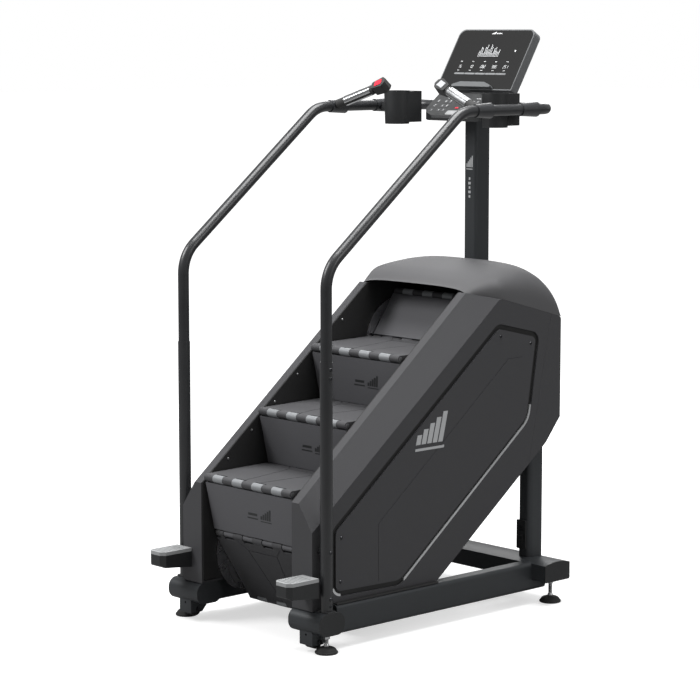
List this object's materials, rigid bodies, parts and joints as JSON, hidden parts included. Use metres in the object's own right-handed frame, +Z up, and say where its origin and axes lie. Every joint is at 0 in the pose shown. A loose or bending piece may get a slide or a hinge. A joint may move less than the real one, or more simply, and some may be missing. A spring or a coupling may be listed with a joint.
{
  "type": "stair climber",
  "caption": "Revolving-stair climber with linked treads between side covers, hooped handrails, tilted console on a mast, cup holders, foot pegs and levelling feet.",
  "frame": {"origin": "middle of the footprint, on the floor under the levelling feet", "axes": "+Z up, +Y from the entry towards the console, +X to the user's right"},
  "size_m": [0.84, 1.379, 2.0399],
  "materials": {
    "powder_coat": "fine textured powder coat",
    "inner_wall_paint": "satin black paint",
    "cap_plastic": "moulded black plastic, fine grain",
    "cover_plastic": "moulded charcoal plastic, fine grain",
    "hood_plastic": "moulded grey plastic, fine grain",
    "accent_silver": "silver painted trim",
    "tread_plastic": "grooved dark plastic",
    "riser_plastic": "moulded mid grey plastic",
    "bright_steel": "ground steel",
    "sleeve_plastic": "light grey clip",
    "roller_plastic": "nylon",
    "wheel_rubber": "moulded rubber",
    "foot_rubber": "moulded rubber",
    "grip_rubber": "soft grip",
    "contact_metal": "brushed plate",
    "screen_glass": "black acrylic",
    "housing_plastic": "moulded grey plastic",
    "peg_cap_plastic": "ribbed silver grey plastic",
    "screw_steel": "black oxide steel",
    "cast_metal": "machined casting",
    "belt_rubber": "ribbed belt",
    "stop_red": "red button",
    "button_grey": "grey button"
  },
  "bodies": {
    "frame": {"base_rails": "powder_coat", "front_foot_tubes": "powder_coat", "rear_crossbeam": "powder_coat", "tube_end_caps": "cap_plastic", "rear_uprights": "powder_coat", "console_mast": "powder_coat", "side_cover_left": "cover_plastic", "side_cover_right": "cover_plastic", "side_panels": "cover_plastic", "accent_strips": "accent_silver", "inner_plates": "inner_wall_paint", "hood": "hood_plastic", "rear_cover": "cover_plastic", "handrail_posts": "powder_coat", "handrail_left": "powder_coat", "handrail_right": "powder_coat", "rail_collars": "cap_plastic", "grips": "grip_rubber", "pulse_contacts": "contact_metal", "cup_holders": "cap_plastic", "console_glass": "screen_glass", "console_housing": "housing_plastic", "keypad_pod": "cap_plastic", "foot_pegs": "cap_plastic", "peg_caps": "peg_cap_plastic", "transport_brackets": "powder_coat", "power_inlet": "cap_plastic", "fasteners": "screw_steel", "bearing_blocks": "cast_metal", "alternator": "cast_metal", "drive_belt": "belt_rubber", "guide_rails": "inner_wall_paint", "control_box": "cap_plastic"},
    "flight": {"flight_treads": "tread_plastic", "flight_risers": "riser_plastic", "hinge_rods": "bright_steel", "nosing_sleeves": "sleeve_plastic", "step_rollers": "roller_plastic"},
    "lower_tread": {"tread_lower": "tread_plastic"},
    "lower_riser": {"riser_lower": "riser_plastic", "lower_nosing": "sleeve_plastic"},
    "upper_riser": {"riser_upper": "riser_plastic", "upper_nosing": "sleeve_plastic"},
    "upper_tread": {"tread_upper": "tread_plastic", "riser_rear": "riser_plastic"},
    "return_run": {"return_steps": "tread_plastic"},
    "top_wheel": {"top_shaft": "bright_steel", "top_discs": "bright_steel", "drive_pulley": "cast_metal"},
    "idler": {"idler_wheel": "bright_steel"},
    "alternator_rotor": {"alternator_pulley": "cast_metal"},
    "transport_wheel_right": {"transport_wheel_right": "wheel_rubber"},
    "transport_wheel_left": {"transport_wheel_left": "wheel_rubber"},
    "levelling_foot_front_left": {"levelling_foot_front_left": "foot_rubber"},
    "levelling_foot_front_right": {"levelling_foot_front_right": "foot_rubber"},
    "levelling_foot_rear_left": {"levelling_foot_rear_left": "foot_rubber"},
    "levelling_foot_rear_right": {"levelling_foot_rear_right": "foot_rubber"},
    "speed_button": {"speed_button": "button_grey"},
    "stop_button": {"stop_button": "stop_red"},
    "rocker_switch": {"rocker_switch": "cap_plastic"}
  },
  "joints": [
    {"name": "stair_travel", "type": "slide", "parent": "frame", "child": "flight", "axis": [0, 0.7738, 0.6334], "range_m": [-0.03, 0.03]},
    {"name": "lower_tread_turn", "type": "hinge", "parent": "flight", "child": "lower_tread", "pos_m": [0, -0.49801, 0.316], "axis": [1, 0, 0], "range_deg": [-7.32, 7.32]},
    {"name": "lower_riser_turn", "type": "hinge", "parent": "lower_tread", "child": "lower_riser", "pos_m": [0, -0.34225, 0.06777], "axis": [1, 0, 0], "range_deg": [-4.55, 4.55]},
    {"name": "upper_riser_turn", "type": "hinge", "parent": "flight", "child": "upper_riser", "pos_m": [0, 0.24599, 0.925], "axis": [1, 0, 0], "range_deg": [-8.3, 8.3]},
    {"name": "upper_tread_turn", "type": "hinge", "parent": "upper_riser", "child": "upper_tread", "pos_m": [0, 0.36256, 1.09078], "axis": [1, 0, 0], "range_deg": [-6.9, 6.9]},
    {"name": "top_wheel_turn", "type": "hinge", "parent": "frame", "child": "top_wheel", "pos_m": [0, 0.37199, 0.911], "axis": [1, 0, 0], "range_deg": [-15.2, 15.2]},
    {"name": "idler_wheel_turn", "type": "hinge", "parent": "frame", "child": "idler", "pos_m": [0, -0.35301, 0.234], "axis": [1, 0, 0], "range_deg": [-2.77, 2.77]},
    {"name": "alternator_turn", "type": "hinge", "parent": "frame", "child": "alternator_rotor", "pos_m": [0, 0.16699, 0.4826], "axis": [1, 0, 0], "range_deg": [-55.73, 55.73]},
    {"name": "return_run_travel", "type": "slide", "parent": "frame", "child": "return_run", "axis": [0, -0.7372, -0.6756], "range_m": [-0.02233, 0.02233]},
    {"name": "transport_wheel_right_spin", "type": "hinge", "parent": "frame", "child": "transport_wheel_right", "pos_m": [0.314, -0.53701, 0.036], "axis": [1, 0, 0], "continuous": true},
    {"name": "transport_wheel_left_spin", "type": "hinge", "parent": "frame", "child": "transport_wheel_left", "pos_m": [-0.314, -0.53701, 0.036], "axis": [1, 0, 0], "continuous": true},
    {"name": "foot_front_left_adjust", "type": "slide", "parent": "frame", "child": "levelling_foot_front_left", "axis": [0, 0, -1], "range_m": [0, 0.015]},
    {"name": "foot_front_right_adjust", "type": "slide", "parent": "frame", "child": "levelling_foot_front_right", "axis": [0, 0, -1], "range_m": [0, 0.015]},
    {"name": "foot_rear_left_adjust", "type": "slide", "parent": "frame", "child": "levelling_foot_rear_left", "axis": [0, 0, -1], "range_m": [0, 0.015]},
    {"name": "foot_rear_right_adjust", "type": "slide", "parent": "frame", "child": "levelling_foot_rear_right", "axis": [0, 0, -1], "range_m": [0, 0.015]},
    {"name": "speed_button_press", "type": "slide", "parent": "frame", "child": "speed_button", "axis": [-0.0927, 0.7434, -0.6624], "range_m": [0, 0.0025], "stiffness_N_per_m": 600},
    {"name": "stop_button_press", "type": "slide", "parent": "frame", "child": "stop_button", "axis": [0.0927, 0.7434, -0.6624], "range_m": [0, 0.0025], "stiffness_N_per_m": 600},
    {"name": "rocker_switch_swing", "type": "hinge", "parent": "frame", "child": "rocker_switch", "pos_m": [0.27, 0.51549, 0.2215], "axis": [-1, 0, 0], "range_deg": [0, 12]}
  ],
  "couplings": [
    {"joint": "lower_tread_turn", "follows": "stair_travel", "rad_per_m": -4.176},
    {"joint": "lower_riser_turn", "follows": "stair_travel", "rad_per_m": 2.595},
    {"joint": "upper_riser_turn", "follows": "stair_travel", "rad_per_m": -4.7326},
    {"joint": "upper_tread_turn", "follows": "stair_travel", "rad_per_m": -3.9357},
    {"joint": "top_wheel_turn", "follows": "stair_travel", "rad_per_m": -8.6683},
    {"joint": "idler_wheel_turn", "follows": "stair_travel", "rad_per_m": -1.5809},
    {"joint": "alternator_turn", "follows": "stair_travel", "rad_per_m": -31.784},
    {"joint": "return_run_travel", "follows": "stair_travel", "ratio": 0.72973}
  ]
}
